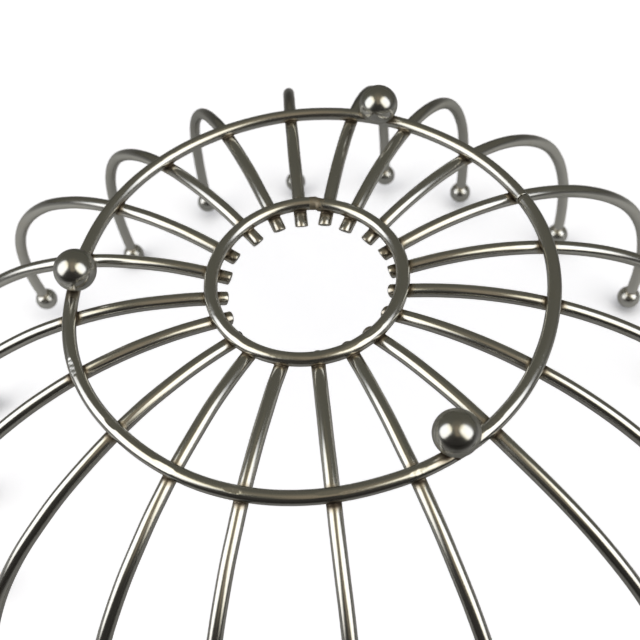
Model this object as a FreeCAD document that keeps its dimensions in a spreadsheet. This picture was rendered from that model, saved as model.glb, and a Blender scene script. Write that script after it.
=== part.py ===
import FreeCAD, Part
import math
import os

import Sketcher
from FreeCAD import Placement, Rotation, Vector

# Wire fruit bowl, upright, millimetres. +Z is up and the mouth is at the top.
# The origin is on the bowl's axis, in the plane the three ball feet stand on.
# Twenty bent wires (the ribs) cross a large ring that carries the feet and a
# small ring near the centre, and each ends at the rim in a small ball.

SIZES = {
    # the one wire used for the ribs and for both rings
    "wire_dia": 4.0,
    # rings: centreline radius and centreline height above the table
    "foot_ring_radius": 72.0,
    "foot_ring_height": 13.08,
    "foot_ring_joint_gap_deg": 0.24,
    "foot_ring_joint_azimuth": 163.75,
    "inner_ring_radius": 29.14,
    "inner_ring_height": 12.56,
    # rib centreline, where all ribs agree: the hub bend's radius, centre and
    # outer end, the floor bend's radius, and the length of the straight end
    "rib_hub_bend": 183.63,
    "rib_hub_bend_centre": 62.21,
    "rib_hub_bend_centre_height": 196.08,
    "rib_hub_end_radius": 33.73,
    "rib_floor_bend": 97.47,
    "rib_tip_straight": 4.6,
    # balls
    "tip_ball_dia": 8.73,
    "foot_ball_dia": 12.7,
}

# One line per foot ball: azimuth in degrees, distance of its centre from the axis
FOOT_BALL_COLUMNS = ("azimuth", "radius")
FOOT_BALLS = [
    (8.09, 69.12),
    (115.57, 71.30),
    (242.45, 70.39),
]

# One line per rib:
#   azimuth of the point where the rib crosses the foot ring, degrees
#   turn of the rib's plane about the vertical through that point, degrees
#   lean of the outer half sideways about its own starting tangent, degrees
#   shift of the whole rib along its radius
#   radius at which the inner end starts
#   radius at which the floor bend ends and the outer half begins
#   shoulder bend: radius, and height where it ends
#   side bend: radius, and height where it ends
RIB_COLUMNS = ("azimuth", "turn", "lean", "shift", "start_radius", "floor_end_radius",
               "shoulder_bend", "shoulder_end_height", "side_bend", "side_end_height")
RIBS = [
    (160.42, -0.61, 0.40, -0.90, 25.23, 117.16, 64.12, 73.48, 81.76, 102.48),
    (178.04, -0.03, 0.00, 0.03, 24.47, 107.11, 70.17, 71.50, 83.97, 102.21),
    (195.63, 0.39, 0.00, 0.00, 24.38, 107.11, 70.17, 71.50, 83.97, 102.21),
    (214.20, 0.40, 0.00, 0.00, 24.96, 107.11, 70.17, 71.50, 83.97, 102.21),
    (233.26, 0.23, -4.20, 0.07, 24.85, 63.62, 215.95, 22.18, 71.95, 102.44),
    (252.87, 1.31, 0.00, 0.00, 25.50, 107.11, 70.17, 71.50, 83.97, 102.22),
    (270.90, 0.11, 0.00, 0.00, 25.84, 107.11, 70.17, 71.50, 83.97, 102.22),
    (290.06, -0.44, 0.00, 0.00, 26.58, 107.11, 70.17, 71.50, 83.97, 102.21),
    (306.52, -2.62, 0.00, 0.00, 27.16, 107.11, 70.17, 71.50, 83.97, 102.21),
    (323.71, 0.16, 0.08, 0.07, 27.26, 107.11, 70.25, 71.49, 84.08, 102.20),
    (342.51, 1.03, 0.00, 0.02, 25.35, 107.11, 70.17, 71.50, 83.97, 102.21),
    (358.92, 0.39, 0.00, 0.03, 24.72, 107.11, 70.17, 71.50, 83.97, 102.21),
    (17.49, 0.72, -5.39, -0.02, 24.23, 107.11, 75.03, 71.01, 91.02, 102.33),
    (35.75, 0.74, 2.39, 2.60, 22.76, 95.92, 83.46, 59.80, 62.72, 99.83),
    (54.86, 0.11, 0.37, -2.81, 26.58, 107.11, 68.11, 71.72, 81.03, 105.47),
    (73.33, -0.33, -2.60, -0.73, 25.32, 125.70, 55.03, 77.45, 82.88, 102.37),
    (91.07, 0.29, -2.64, 0.42, 24.00, 94.05, 76.22, 72.04, 82.39, 102.78),
    (107.57, 0.04, -0.65, -0.02, 24.72, 107.11, 70.95, 71.42, 85.09, 100.71),
    (122.84, -0.52, -1.10, 0.34, 23.65, 100.35, 73.44, 73.06, 81.17, 102.03),
    (141.99, -0.96, 3.34, -1.46, 25.23, 117.11, 68.78, 72.90, 71.64, 101.99),
]

# ---------------------------------------------------------------- spreadsheet

doc = FreeCAD.newDocument("wire_fruit_bowl")
sheet = doc.addObject("Spreadsheet::Sheet", "sizes")
sheet.Label = "sizes"


def fill_sheet():
    """Alias and value of every size, one per row. Table values get an alias made
    of the column's name and the line's number."""
    entries = list(SIZES.items())
    for number, values in enumerate(FOOT_BALLS, 1):
        for column, value in zip(FOOT_BALL_COLUMNS, values):
            entries.append(("foot_ball_%s_%d" % (column, number), value))
    for number, values in enumerate(RIBS, 1):
        for column, value in zip(RIB_COLUMNS, values):
            entries.append(("rib_%s_%02d" % (column, number), value))
    for row, (alias, value) in enumerate(entries, 1):
        sheet.set("A%d" % row, alias)
        sheet.set("B%d" % row, "%g" % value)
        sheet.setAlias("B%d" % row, alias)
    doc.recompute()


def size(alias):
    return float(sheet.get(alias))


# ---------------------------------------------------------------- placements

UP = Vector(0, 0, 1)


def swing(azimuth):
    """Placement that turns about the bowl's axis."""
    return Placement(Vector(0, 0, 0), Rotation(UP, azimuth))


def about(point, axis, degrees):
    """Placement that turns about an axis through a point."""
    turn = Rotation(axis, degrees)
    return Placement(point - turn.multVec(point), turn)


# ---------------------------------------------------------------- bodies and sketches

# how a sketch on each origin plane sits in its body
PLANES = {
    "XZ_Plane": Placement(Vector(0, 0, 0), Rotation(Vector(1, 0, 0), 90)),
    "YZ_Plane": Placement(Vector(0, 0, 0), Rotation(Vector(1, 1, 1), 120)),
}

# Sketcher's numbers for the points of an element, and for the sketch's origin
START, END, CENTRE = 1, 2, 3
ORIGIN = (-1, 1)


def new_body(name, placement):
    body = doc.addObject("PartDesign::Body", name)
    body.Label = name
    body.Placement = placement
    return body


def new_sketch(body, name, role="XZ_Plane", moved=None):
    """A sketch on one of the body's own origin planes. moved is a placement in
    the body's frame that carries the sketch off that plane."""
    sketch = body.newObject("Sketcher::SketchObject", name)
    support = [f for f in body.Origin.OriginFeatures if f.Role == role][0]
    sketch.AttachmentSupport = [(support, "")]
    sketch.MapMode = "FlatFace"
    if moved is not None:
        plane = PLANES[role]
        sketch.AttachmentOffset = plane.inverse().multiply(moved).multiply(plane)
    return sketch


def constrain(sketch, *constraint):
    return sketch.addConstraint(Sketcher.Constraint(*constraint))


def bind(sketch, name, alias, *constraint, halved=False):
    """A named dimension that follows a size in the sheet, or half of it."""
    value = size(alias) / 2 if halved else size(alias)
    index = constrain(sketch, *constraint, value)
    sketch.renameConstraint(index, name)
    sketch.setExpression("Constraints." + name, "sizes." + alias + (" / 2" if halved else ""))


def add_circle(sketch, x, y):
    """The wire's round section, not yet constrained."""
    circle = Part.Circle(Vector(x, y, 0), UP, size("wire_dia") / 2)
    return sketch.addGeometry(circle, False)


def add_line(sketch, start, end):
    return sketch.addGeometry(Part.LineSegment(start, end), False)


def draw_ring_section(sketch, ring):
    """Section of the foot ring or the inner ring, held by the sheet."""
    circle = add_circle(sketch, size(ring + "_radius"), size(ring + "_height"))
    bind(sketch, ring + "_x", ring + "_radius", "DistanceX", *ORIGIN, circle, CENTRE)
    bind(sketch, ring + "_y", ring + "_height", "DistanceY", *ORIGIN, circle, CENTRE)
    bind(sketch, ring + "_wire_radius", "wire_dia", "Radius", circle, halved=True)


def turn_profile(body, kind, name, sketch):
    """Full revolution or groove about the sketch's vertical axis."""
    doc.recompute()
    feature = body.newObject("PartDesign::" + kind, name)
    feature.Profile = sketch
    feature.ReferenceAxis = (sketch, ["V_Axis"])
    feature.Angle = 360.0
    body.Tip = feature
    return feature


# ---------------------------------------------------------------- rib centreline

def along(angle):
    """Direction of travel at an angle above the horizontal, in the rib's plane."""
    return Vector(math.cos(angle), 0, math.sin(angle))


def away(angle):
    """Direction from an arc's centre to the point where travel has that angle."""
    return Vector(math.sin(angle), 0, -math.cos(angle))


class Arc:
    """An arc in the rib's XZ plane, curving upwards. start and end are the
    angles of travel above the horizontal, in radians."""

    def __init__(self, centre, radius, start, end_x=None, end_z=None):
        self.centre = centre
        self.radius = radius
        self.start = start
        if end_x is not None:
            self.end = math.asin((end_x - centre.x) / radius)
        else:
            self.end = math.acos((centre.z - end_z) / radius)
        self.start_point = centre + away(self.start) * radius
        self.end_point = centre + away(self.end) * radius

    def followed_by(self, radius, **end):
        """The next arc, tangent to this one at its end."""
        centre = self.end_point - away(self.end) * radius
        return Arc(centre, radius, self.end, **end)


class Rib:
    """Centreline of one rib: four tangent arcs and a short straight end. The
    outer half can lean sideways out of the inner half's plane, so each half
    has its own placement in the rib's frame."""

    def __init__(self, number):
        self.number = number
        self.azimuth = self.own_size("azimuth")

        hub_centre = Vector(size("rib_hub_bend_centre"), 0, size("rib_hub_bend_centre_height"))
        hub_bend = size("rib_hub_bend")
        hub_start = math.asin((self.own_size("start_radius") - hub_centre.x) / hub_bend)
        self.hub = Arc(hub_centre, hub_bend, hub_start, end_x=size("rib_hub_end_radius"))
        self.floor = self.hub.followed_by(
            size("rib_floor_bend"), end_x=self.own_size("floor_end_radius"))
        self.shoulder = self.floor.followed_by(
            self.own_size("shoulder_bend"), end_z=self.own_size("shoulder_end_height"))
        self.side = self.shoulder.followed_by(
            self.own_size("side_bend"), end_z=self.own_size("side_end_height"))
        self.tip = self.side.end_point + along(self.side.end) * size("rib_tip_straight")

        foot = Vector(size("foot_ring_radius"), 0, 0)
        shift = Placement(Vector(self.own_size("shift"), 0, 0), Rotation())
        self.inner = shift.multiply(about(foot, UP, self.own_size("turn")))
        lean = about(self.floor.end_point, along(self.floor.end), -self.own_size("lean"))
        self.outer = self.inner.multiply(lean)

    def alias(self, column):
        return "rib_%s_%02d" % (column, self.number)

    def own_size(self, column):
        return size(self.alias(column))


# ---------------------------------------------------------------- ribs

def flat(point):
    """A point of the rib's XZ plane in sketch coordinates."""
    return Vector(point.x, point.z, 0)


def draw_arcs(sketch, arcs):
    """Two arcs in sequence, as elements 0 and 1."""
    for arc in arcs:
        circle = Part.Circle(flat(arc.centre), UP, arc.radius)
        # the sketch measures arc angles a quarter turn behind the angle of travel
        sketch.addGeometry(Part.ArcOfCircle(
            circle, arc.start - math.pi / 2, arc.end - math.pi / 2), False)


def draw_inner_centreline(body, name, rib):
    hub, floor = 0, 1
    path = new_sketch(body, name, "XZ_Plane", rib.inner)
    draw_arcs(path, (rib.hub, rib.floor))
    constrain(path, "Tangent", hub, END, floor, START)
    bind(path, "hub_bend", "rib_hub_bend", "Radius", hub)
    bind(path, "floor_bend", "rib_floor_bend", "Radius", floor)
    bind(path, "start_radius", rib.alias("start_radius"), "DistanceX", *ORIGIN, hub, START)
    bind(path, "hub_bend_centre_height", "rib_hub_bend_centre_height",
         "DistanceY", *ORIGIN, hub, CENTRE)
    bind(path, "hub_bend_centre", "rib_hub_bend_centre", "DistanceX", *ORIGIN, hub, CENTRE)
    bind(path, "hub_end", "rib_hub_end_radius", "DistanceX", *ORIGIN, hub, END)
    bind(path, "floor_end", rib.alias("floor_end_radius"), "DistanceX", *ORIGIN, floor, END)
    return path


def draw_outer_centreline(body, name, rib):
    shoulder, side = 0, 1
    path = new_sketch(body, name, "XZ_Plane", rib.outer)
    draw_arcs(path, (rib.shoulder, rib.side))
    straight = add_line(path, flat(rib.side.end_point), flat(rib.tip))
    constrain(path, "Tangent", shoulder, END, side, START)
    constrain(path, "Tangent", side, END, straight, START)
    bind(path, "shoulder_bend", rib.alias("shoulder_bend"), "Radius", shoulder)
    bind(path, "side_bend", rib.alias("side_bend"), "Radius", side)
    bind(path, "shoulder_start", rib.alias("floor_end_radius"),
         "DistanceX", *ORIGIN, shoulder, START)
    constrain(path, "DistanceY", *ORIGIN, shoulder, START, rib.shoulder.start_point.z)
    constrain(path, "DistanceX", *ORIGIN, shoulder, CENTRE, rib.shoulder.centre.x)
    bind(path, "shoulder_end", rib.alias("shoulder_end_height"),
         "DistanceY", *ORIGIN, shoulder, END)
    bind(path, "side_end", rib.alias("side_end_height"), "DistanceY", *ORIGIN, side, END)
    bind(path, "tip_straight", "rib_tip_straight", "Distance", straight)
    return path


def sweep_wire(body, name, path, first_arc, placed):
    """The wire's round section, square to the start of the path, swept along it."""
    square = Placement(first_arc.start_point,
                       Rotation(Vector(0, 1, 0), -math.degrees(first_arc.start)))
    section = new_sketch(body, name + "_section", "YZ_Plane", placed.multiply(square))
    circle = add_circle(section, 0, 0)
    constrain(section, "Coincident", circle, CENTRE, *ORIGIN)
    bind(section, "wire_radius", "wire_dia", "Radius", circle, halved=True)
    doc.recompute()
    wire = body.newObject("PartDesign::AdditivePipe", name + "_wire")
    wire.Profile = section
    wire.Spine = (path, ["Edge%d" % n for n in range(1, path.GeometryCount + 1)])
    doc.recompute()


def make_rib(rib):
    name = "rib_%02d" % rib.number
    body = new_body(name, swing(rib.azimuth))
    path = draw_inner_centreline(body, name + "_inner_centreline", rib)
    sweep_wire(body, name + "_inner", path, rib.hub, rib.inner)
    path = draw_outer_centreline(body, name + "_outer_centreline", rib)
    sweep_wire(body, name + "_outer", path, rib.shoulder, rib.outer)
    # round seats where the two rings cross the wire
    seats = new_sketch(body, name + "_seats")
    draw_ring_section(seats, "foot_ring")
    draw_ring_section(seats, "inner_ring")
    turn_profile(body, "Groove", name + "_ring_seats", seats)
    return body


# ---------------------------------------------------------------- tip balls

def make_tip_ball(rib):
    """A ball about its own centre, at the end of the rib. Its blind socket runs
    from the centre down local Z, back along the rib's straight end."""
    name = "tip_ball_%02d" % rib.number
    tilt = Placement(rib.tip, Rotation(Vector(0, 1, 0), 90.0 - math.degrees(rib.side.end)))
    body = new_body(name, swing(rib.azimuth).multiply(rib.outer).multiply(tilt))
    ball_radius = size("tip_ball_dia") / 2
    socket_radius = size("wire_dia") / 2
    mouth_depth = math.sqrt(ball_radius ** 2 - socket_radius ** 2)
    centre = Vector(0, 0, 0)
    mouth = Vector(socket_radius, -mouth_depth, 0)
    corner = Vector(socket_radius, 0, 0)

    # half section: arc from the socket's mouth to the top pole, wall, floor, axis
    half = new_sketch(body, name + "_half_section")
    arc = half.addGeometry(Part.ArcOfCircle(
        Part.Circle(centre, UP, ball_radius),
        math.atan2(-mouth_depth, socket_radius), math.pi / 2), False)
    wall = add_line(half, mouth, corner)
    floor = add_line(half, corner, centre)
    axis = add_line(half, centre, Vector(0, ball_radius, 0))
    constrain(half, "Coincident", arc, CENTRE, *ORIGIN)
    constrain(half, "Coincident", arc, START, wall, START)
    constrain(half, "Coincident", wall, END, floor, START)
    constrain(half, "Coincident", floor, END, *ORIGIN)
    constrain(half, "Coincident", axis, START, *ORIGIN)
    constrain(half, "Coincident", axis, END, arc, END)
    constrain(half, "Vertical", wall)
    constrain(half, "Horizontal", floor)
    constrain(half, "Vertical", axis)
    bind(half, "ball_radius", "tip_ball_dia", "Radius", arc, halved=True)
    bind(half, "socket_radius", "wire_dia", "DistanceX", *ORIGIN, wall, END, halved=True)
    turn_profile(body, "Revolution", name + "_turned", half)
    return body


# ---------------------------------------------------------------- rings

def make_ring(ring, azimuth=0.0):
    """Body and hoop of a ring that is closed all the way round."""
    body = new_body(ring, swing(azimuth))
    section = new_sketch(body, ring + "_section")
    draw_ring_section(section, ring)
    return body, turn_profile(body, "Revolution", ring + "_hoop", section)


def make_foot_ring():
    """One bent wire whose two ends meet with a hairline gap. The hoop is turned
    equally both ways from its section, so the gap lies opposite the section."""
    body, hoop = make_ring("foot_ring", size("foot_ring_joint_azimuth") + 180.0)
    hoop.Midplane = True
    hoop.setExpression("Angle", "360 - sizes.foot_ring_joint_gap_deg")
    return body


def make_inner_ring():
    body, _ = make_ring("inner_ring")
    return body


# ---------------------------------------------------------------- foot balls

def make_foot_ball(number):
    """A ball under the foot ring, with the ring bedded into its top."""
    # both blanks are turned by 180 degrees: the ball's seam then faces the bowl's
    # axis, and the ring's seam lies on the far side of the bowl from the ball
    ball = doc.addObject("Part::Sphere", "foot_ball_blank_%d" % number)
    ball.setExpression("Radius", "sizes.foot_ball_dia / 2")
    ball.Placement = swing(180)
    ball.setExpression("Placement.Base.x", "sizes.foot_ball_radius_%d" % number)
    ball.setExpression("Placement.Base.z", "sizes.foot_ball_dia / 2")

    ring = doc.addObject("Part::Torus", "foot_ball_seat_%d" % number)
    ring.setExpression("Radius1", "sizes.foot_ring_radius")
    ring.setExpression("Radius2", "sizes.wire_dia / 2")
    ring.Placement = swing(180)
    ring.setExpression("Placement.Base.z", "sizes.foot_ring_height")

    foot = doc.addObject("Part::Cut", "foot_ball_%d" % number)
    foot.Label = "foot_ball_%d" % number
    foot.Base = ball
    foot.Tool = ring
    # sets the vertical axis that the bound angle turns about
    foot.Placement = swing(0.0)
    foot.setExpression("Placement.Rotation.Angle", "sizes.foot_ball_azimuth_%d" % number)
    return foot


# ---------------------------------------------------------------- build and export

fill_sheet()
ribs = [Rib(number) for number in range(1, len(RIBS) + 1)]
parts = [make_rib(rib) for rib in ribs]
parts += [make_tip_ball(rib) for rib in ribs]
parts += [make_foot_ring(), make_inner_ring()]
parts += [make_foot_ball(number) for number in range(1, len(FOOT_BALLS) + 1)]
doc.recompute()

for obj in doc.Objects:
    if "Invalid" in obj.State or "Error" in obj.State:
        raise RuntimeError("%s failed to compute: %s" % (obj.Label, obj.State))
for part in parts:
    if part.Shape.isNull() or not part.Shape.isValid() or len(part.Shape.Solids) != 1:
        raise RuntimeError("%s is not one valid solid" % part.Label)

os.makedirs("parts", exist_ok=True)
for part in parts:
    part.Shape.exportStep(os.path.join("parts", part.Label + ".step"))
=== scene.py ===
import math

import bpy
import numpy as np
from mathutils import Matrix, Vector


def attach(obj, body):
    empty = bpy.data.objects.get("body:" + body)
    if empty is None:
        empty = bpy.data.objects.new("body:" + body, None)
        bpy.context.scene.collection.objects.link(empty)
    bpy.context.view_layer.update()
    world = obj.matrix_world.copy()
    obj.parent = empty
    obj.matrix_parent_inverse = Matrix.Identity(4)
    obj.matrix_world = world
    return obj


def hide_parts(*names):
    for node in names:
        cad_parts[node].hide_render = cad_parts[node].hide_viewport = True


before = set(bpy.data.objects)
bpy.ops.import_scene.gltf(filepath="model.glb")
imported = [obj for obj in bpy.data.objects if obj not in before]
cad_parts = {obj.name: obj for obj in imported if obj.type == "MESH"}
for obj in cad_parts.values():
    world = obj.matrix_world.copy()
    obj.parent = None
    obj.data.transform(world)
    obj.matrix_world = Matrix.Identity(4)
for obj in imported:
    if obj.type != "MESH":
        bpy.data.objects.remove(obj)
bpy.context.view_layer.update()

# Wire fruit bowl: twenty bent wires welded to a foot ring and an inner ring,
# with ball tips and ball feet. Everything below is worked out in millimetres in
# the row's frame and turned into metres when a mesh is made.

MM = 0.001
WIRE_R = 2.07
FOOT_R, FOOT_Z = 72.0, 13.08
INNER_R, INNER_Z = 29.14, 12.56
JOINT_AZ, JOINT_GAP = 163.75, 0.24
BEAD_AZ = 101.7
HUB_BEND, HUB_CX, HUB_CZ, HUB_END = 183.63, 62.21, 196.08, 33.73
FLOOR_BEND = 97.47
TIP_STRAIGHT = 4.6
TIP_BALL_R, FOOT_BALL_R = 8.73 / 2, 12.7 / 2
FEET = [(8.09, 69.12), (115.57, 71.30), (242.45, 70.39)]
# azimuth, turn, lean, shift, inner end radius, end of the floor bend,
# shoulder bend, its end height, side bend, its end height
RIBS = [
    (160.42, -0.61, 0.40, -0.90, 25.23, 117.16, 64.12, 73.48, 81.76, 102.48),
    (178.04, -0.03, 0.00, 0.03, 24.47, 107.11, 70.17, 71.50, 83.97, 102.21),
    (195.63, 0.39, 0.00, 0.00, 24.38, 107.11, 70.17, 71.50, 83.97, 102.21),
    (214.20, 0.40, 0.00, 0.00, 24.96, 107.11, 70.17, 71.50, 83.97, 102.21),
    (233.26, 0.23, -4.20, 0.07, 24.85, 63.62, 215.95, 22.18, 71.95, 102.44),
    (252.87, 1.31, 0.00, 0.00, 25.50, 107.11, 70.17, 71.50, 83.97, 102.22),
    (270.90, 0.11, 0.00, 0.00, 25.84, 107.11, 70.17, 71.50, 83.97, 102.22),
    (290.06, -0.44, 0.00, 0.00, 26.58, 107.11, 70.17, 71.50, 83.97, 102.21),
    (306.52, -2.62, 0.00, 0.00, 27.16, 107.11, 70.17, 71.50, 83.97, 102.21),
    (323.71, 0.16, 0.08, 0.07, 27.26, 107.11, 70.25, 71.49, 84.08, 102.20),
    (342.51, 1.03, 0.00, 0.02, 25.35, 107.11, 70.17, 71.50, 83.97, 102.21),
    (358.92, 0.39, 0.00, 0.03, 24.72, 107.11, 70.17, 71.50, 83.97, 102.21),
    (17.49, 0.72, -5.39, -0.02, 24.23, 107.11, 75.03, 71.01, 91.02, 102.33),
    (35.75, 0.74, 2.39, 2.60, 22.76, 95.92, 83.46, 59.80, 62.72, 99.83),
    (54.86, 0.11, 0.37, -2.81, 26.58, 107.11, 68.11, 71.72, 81.03, 105.47),
    (73.33, -0.33, -2.60, -0.73, 25.32, 125.70, 55.03, 77.45, 82.88, 102.37),
    (91.07, 0.29, -2.64, 0.42, 24.00, 94.05, 76.22, 72.04, 82.39, 102.78),
    (107.57, 0.04, -0.65, -0.02, 24.72, 107.11, 70.95, 71.42, 85.09, 100.71),
    (122.84, -0.52, -1.10, 0.34, 23.65, 100.35, 73.44, 73.06, 81.17, 102.03),
    (141.99, -0.96, 3.34, -1.46, 25.23, 117.11, 68.78, 72.90, 71.64, 101.99),
]
# how far each ring bows out of a true circle, outwards positive, by azimuth
FOOT_BOW = [
    (6, -1.07), (21, -1.03), (24, -0.89), (27, -0.72), (30, -0.56), (42, -0.10), (57, -0.11),
    (69, -0.15), (78, -0.16), (87, 0.0), (96, 0.08), (105, 0.02), (120, -0.25), (129, -0.48),
    (135, -0.54), (150, -0.07), (156, 0.04), (168, 0.46), (174, 0.41), (186, 0.17), (192, -0.06),
    (201, -0.35), (210, -0.32), (219, -0.01), (225, 0.16), (231, 0.20), (249, -0.17), (258, -0.48),
    (264, -0.56), (273, -0.32), (285, -0.01), (294, 0.09), (303, 0.08), (312, -0.07), (318, -0.10),
    (327, 0.01), (333, 0.18), (336, 0.24), (345, 0.21), (351, 0.02),
]
INNER_BOW = [
    (101.7, 0.34), (116, 0.09), (132, -0.33), (140, -0.47), (152, -0.63), (172, -0.84), (192, -0.96),
    (208, -0.90), (228, -0.50), (240, -0.29), (256, 0.11), (264, 0.19), (284, 0.38), (296, 0.47),
    (304, 0.50), (316, 0.44), (328, 0.29), (344, 0.15), (360, 0.03), (364, 0.01), (380, 0.07),
    (400, 0.26), (420, 0.52), (440, 0.75), (456, 0.88), (461.7, 0.93),
]
AROUND = 40

# ------------------------------------------------------------------ small maths


def rot(axis, degrees):
    return np.array(Matrix.Rotation(math.radians(degrees), 3, Vector(axis)))


def about(point, axis, degrees):
    """(R, t) that turns about an axis through a point."""
    r = rot(axis, degrees)
    p = np.asarray(point, float)
    return r, p - r @ p


def chain(first, second):
    """second, then first."""
    r1, t1 = first
    r2, t2 = second
    return r1 @ r2, r1 @ t2 + t1


def smooth(e0, e1, x):
    t = np.clip((x - e0) / (e1 - e0), 0.0, 1.0)
    return t * t * (3 - 2 * t)


def smin(a, b, k):
    h = np.clip(k - np.abs(a - b), 0.0, None) / k
    return np.minimum(a, b) - h * h * k * 0.25


def wobble(s, seed, waves=((17.0, 1.0), (29.0, 1.4), (61.0, 1.8))):
    """Smooth repeatable wander along a length, about 1 unit high."""
    out = np.zeros_like(s)
    for j, (length, amp) in enumerate(waves):
        out += amp * np.sin(2 * np.pi * s / length + 1.7 * seed * (j + 1) + 0.9 * j)
    return out / 3.0


def lump(p, seed):
    """Smooth repeatable lumpiness in space, in -1..1."""
    x, y, z = p[..., 0], p[..., 1], p[..., 2]
    a = np.sin(2.1 * x + 1.3 * y + seed) * np.sin(1.7 * y - 2.3 * z + 2 * seed)
    b = np.sin(4.3 * z - 3.1 * x + 3 * seed) * np.sin(3.9 * y + 2.7 * x + seed)
    return 0.6 * a + 0.4 * b


# ------------------------------------------------------------------ ring centrelines


def smoothed(values, width, mode):
    """Values blurred by a bell of a given width in samples."""
    n = int(3 * width)
    bell = np.exp(-0.5 * (np.arange(-n, n + 1) / width) ** 2)
    return np.convolve(np.pad(values, n, mode=mode), bell / bell.sum(), "valid")


GRID = np.arange(0, 360, 0.25)
foot_bow = smoothed(np.interp(GRID, *zip(*FOOT_BOW), period=360), 12, "wrap")
inner_bow = smoothed(np.interp(GRID + BEAD_AZ, *zip(*INNER_BOW)), 14, "edge")


def ring_radius(kind, degrees):
    """Distance of a ring's centreline from the axis at an azimuth."""
    if kind == "foot":
        return FOOT_R + np.interp(np.asarray(degrees) % 360, np.append(GRID, 360), np.append(foot_bow, foot_bow[0]))
    a = (np.asarray(degrees, float) - BEAD_AZ) % 360
    bow = np.interp(a, GRID, inner_bow)
    # the two ends that meet at the butt weld are not quite in line
    d = np.where(a > 180, a - 360, a)
    step = smooth(-1.5, 1.5, d)
    near = np.abs(d) < 1.5
    return INNER_R + np.where(near, inner_bow[-1] + (inner_bow[0] - inner_bow[-1]) * step, bow)


# ------------------------------------------------------------------ rib centreline


class Rib:
    def __init__(self, number):
        (self.az, turn, lean, shift, start, floor_end, r3, z3, r4, z4) = RIBS[number - 1]
        self.number = number
        a0 = math.asin((start - HUB_CX) / HUB_BEND)
        c1z = HUB_CZ
        a1 = math.asin((HUB_END - HUB_CX) / HUB_BEND)
        arcs = [(HUB_CX, c1z, HUB_BEND, a0, a1)]
        x, z = HUB_CX + HUB_BEND * math.sin(a1), c1z - HUB_BEND * math.cos(a1)
        cx, cz = x - FLOOR_BEND * math.sin(a1), z + FLOOR_BEND * math.cos(a1)
        a2 = math.asin((floor_end - cx) / FLOOR_BEND)
        arcs.append((cx, cz, FLOOR_BEND, a1, a2))
        x, z = cx + FLOOR_BEND * math.sin(a2), cz - FLOOR_BEND * math.cos(a2)
        self.hand_over, self.hand_tangent = np.array([x, 0, z]), np.array([math.cos(a2), 0, math.sin(a2)])
        cx, cz = x - r3 * math.sin(a2), z + r3 * math.cos(a2)
        a3 = math.acos((cz - z3) / r3)
        arcs.append((cx, cz, r3, a2, a3))
        x, z = cx + r3 * math.sin(a3), cz - r3 * math.cos(a3)
        cx, cz = x - r4 * math.sin(a3), z + r4 * math.cos(a3)
        a4 = math.acos((cz - z4) / r4)
        arcs.append((cx, cz, r4, a3, a4))
        self.end = (cx + r4 * math.sin(a4), cz - r4 * math.cos(a4), a4)
        self.arcs = arcs
        swing = (rot((0, 0, 1), self.az), np.zeros(3))
        inner = chain((np.eye(3), np.array([shift, 0, 0])), about((FOOT_R, 0, 0), (0, 0, 1), turn))
        outer = chain(inner, about(self.hand_over, self.hand_tangent, -lean))
        self.inner, self.outer = chain(swing, inner), chain(swing, outer)
        self.lengths = [r * (e - s) for _, _, r, s, e in arcs] + [TIP_STRAIGHT]
        self.length = sum(self.lengths)

    def at(self, s):
        """Points, tangents and in-plane normals (towards the bowl's inside) at lengths s."""
        s = np.asarray(s, float)
        pts, tan, nor = (np.zeros((len(s), 3)) for _ in range(3))
        done = 0.0
        spans = []
        for k, length in enumerate(self.lengths):
            last = k == len(self.lengths) - 1
            m = (s >= done - 1e-9) & ((s < done + length - 1e-9) | last)
            spans.append((k, m, s[m] - done))
            done += length
        for k, m, d in spans:
            r, t = self.inner if k < 2 else self.outer
            if k < 4:
                cx, cz, rad, a_s, a_e = self.arcs[k]
                a = a_s + d / rad
                p = np.stack([cx + rad * np.sin(a), 0 * a, cz - rad * np.cos(a)], -1)
            else:
                x, z, a4 = self.end
                a = np.full_like(d, a4)
                p = np.stack([x + d * math.cos(a4), 0 * a, z + d * math.sin(a4)], -1)
            q = np.stack([np.cos(a), 0 * a, np.sin(a)], -1)
            n = np.stack([-np.sin(a), 0 * a, np.cos(a)], -1)
            pts[m], tan[m], nor[m] = p @ r.T + t, q @ r.T, n @ r.T
        return pts, tan, nor

    def crossing(self, radius):
        """Length along the rib where its centreline is at a distance from the bowl's axis."""
        s = np.linspace(0, 85, 3401)
        p, _, _ = self.at(s)
        return float(s[np.abs(np.hypot(p[:, 0], p[:, 1]) - radius).argmin()])


ribs = [Rib(i) for i in range(1, len(RIBS) + 1)]


def rib_distance(q, c):
    """Distance from a rib's surface near crossing c, where it runs in one arc."""
    v = q - (c["p"] + c["n"] * c["bend"])
    along = np.hypot(v @ c["t"], v @ c["n"]) - c["bend"]
    return np.hypot(along, v @ np.cross(c["n"], c["t"])) - WIRE_R


def ring_distance(p, radius, height):
    return np.hypot(np.hypot(p[..., 0], p[..., 1]) - radius, p[..., 2] - height) - WIRE_R


# ------------------------------------------------------------------ mesh helpers


def make(name, verts, faces, attrs, material, node=None, smooth_shade=True):
    mesh = bpy.data.meshes.new(name)
    mesh.from_pydata((np.asarray(verts) * MM).tolist(), [], faces)
    for key, values in attrs.items():
        values = np.asarray(values, np.float32)
        kind = "FLOAT" if values.ndim == 1 else "FLOAT_VECTOR"
        layer = mesh.attributes.new(key, kind, "POINT")
        layer.data.foreach_set("value" if kind == "FLOAT" else "vector", values.ravel())
    if smooth_shade:
        mesh.polygons.foreach_set("use_smooth", [True] * len(mesh.polygons))
    mesh.validate()
    mesh.update()
    obj = bpy.data.objects.new(name, mesh)
    bpy.context.scene.collection.objects.link(obj)
    mesh.materials.append(material)
    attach(obj, "root")
    if node:
        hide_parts(node)
    return obj


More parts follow.
